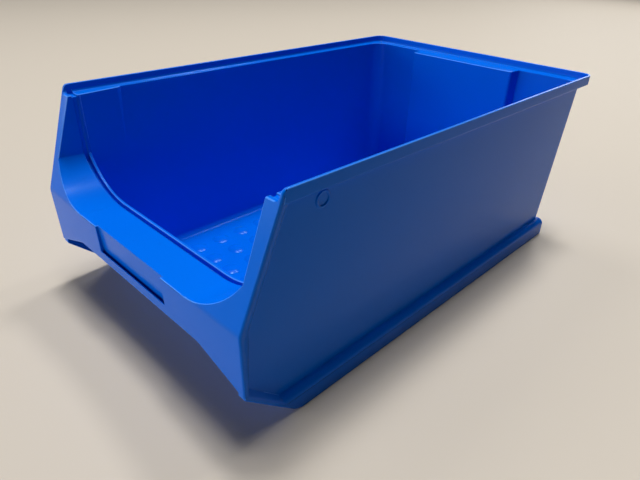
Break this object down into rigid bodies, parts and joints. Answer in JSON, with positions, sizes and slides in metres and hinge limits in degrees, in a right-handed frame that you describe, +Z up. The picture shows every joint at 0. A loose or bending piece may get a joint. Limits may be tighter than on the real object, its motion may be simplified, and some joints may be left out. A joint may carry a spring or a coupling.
{
  "type": "stackable storage bin",
  "caption": "Open-front stackable storage bin moulded in one piece, with a scoop front grip, label pocket, stacking rim and foot rails.",
  "frame": {"origin": "on the table under the middle of the bin: the centre of the bounding box's bottom face", "axes": "+Z up out of the open top; -Y towards the open picking front, +Y towards the back wall; +X to the right seen from the front"},
  "size_m": [0.31, 0.5, 0.2],
  "materials": {
    "bin_plastic": "semi-gloss moulded polypropylene, saturated blue"
  },
  "bodies": {
    "root": {"bin_body": "bin_plastic"}
  },
  "joints": []
}
